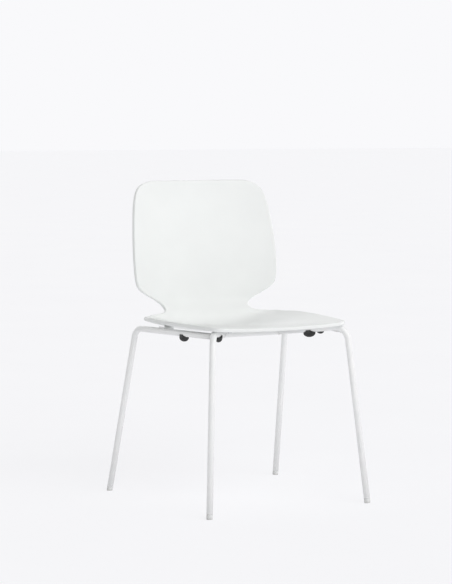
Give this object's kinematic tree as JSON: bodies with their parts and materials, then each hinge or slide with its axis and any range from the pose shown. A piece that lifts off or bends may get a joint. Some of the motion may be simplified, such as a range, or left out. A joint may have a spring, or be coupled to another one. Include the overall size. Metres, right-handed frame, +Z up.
{
  "type": "stacking chair",
  "caption": "Stacking chair: one-piece moulded seat and back shell on a slim bent steel tube frame with stacking bumpers and plastic glides.",
  "frame": {"origin": "on the floor under the middle of the chair's overall box", "axes": "+Z up; the chair faces -Y, so the front legs are at -Y and the back rest at +Y; +X to the sitter's left; the chair is the same on both sides of the X = 0 plane"},
  "size_m": [0.5298, 0.5124, 0.82],
  "materials": {
    "shell": "smooth satin white, slightly eased cut edge",
    "frame": "light grey-white powder coat, fine texture",
    "rubber": "matt black",
    "glide": "satin light grey moulded plastic",
    "zinc": "zinc plated",
    "brass": "plain turned brass"
  },
  "bodies": {
    "root": {"seat_shell": "shell", "cross_tube": "frame", "front_leg_left": "frame", "rear_leg_left": "frame", "glide_front_left": "glide", "glide_rear_left": "glide", "bumper_side_left": "rubber", "bumper_front_left": "rubber", "tab_rear_left": "frame", "insert_rear_left": "brass", "washer_rear_left": "zinc", "screw_rear_left": "zinc", "tab_front_left": "frame", "insert_front_left": "brass", "washer_front_left": "zinc", "screw_front_left": "zinc", "front_leg_right": "frame", "rear_leg_right": "frame", "glide_front_right": "glide", "glide_rear_right": "glide", "bumper_side_right": "rubber", "bumper_front_right": "rubber", "tab_rear_right": "frame", "insert_rear_right": "brass", "washer_rear_right": "zinc", "screw_rear_right": "zinc", "tab_front_right": "frame", "insert_front_right": "brass", "washer_front_right": "zinc", "screw_front_right": "zinc"}
  },
  "joints": []
}
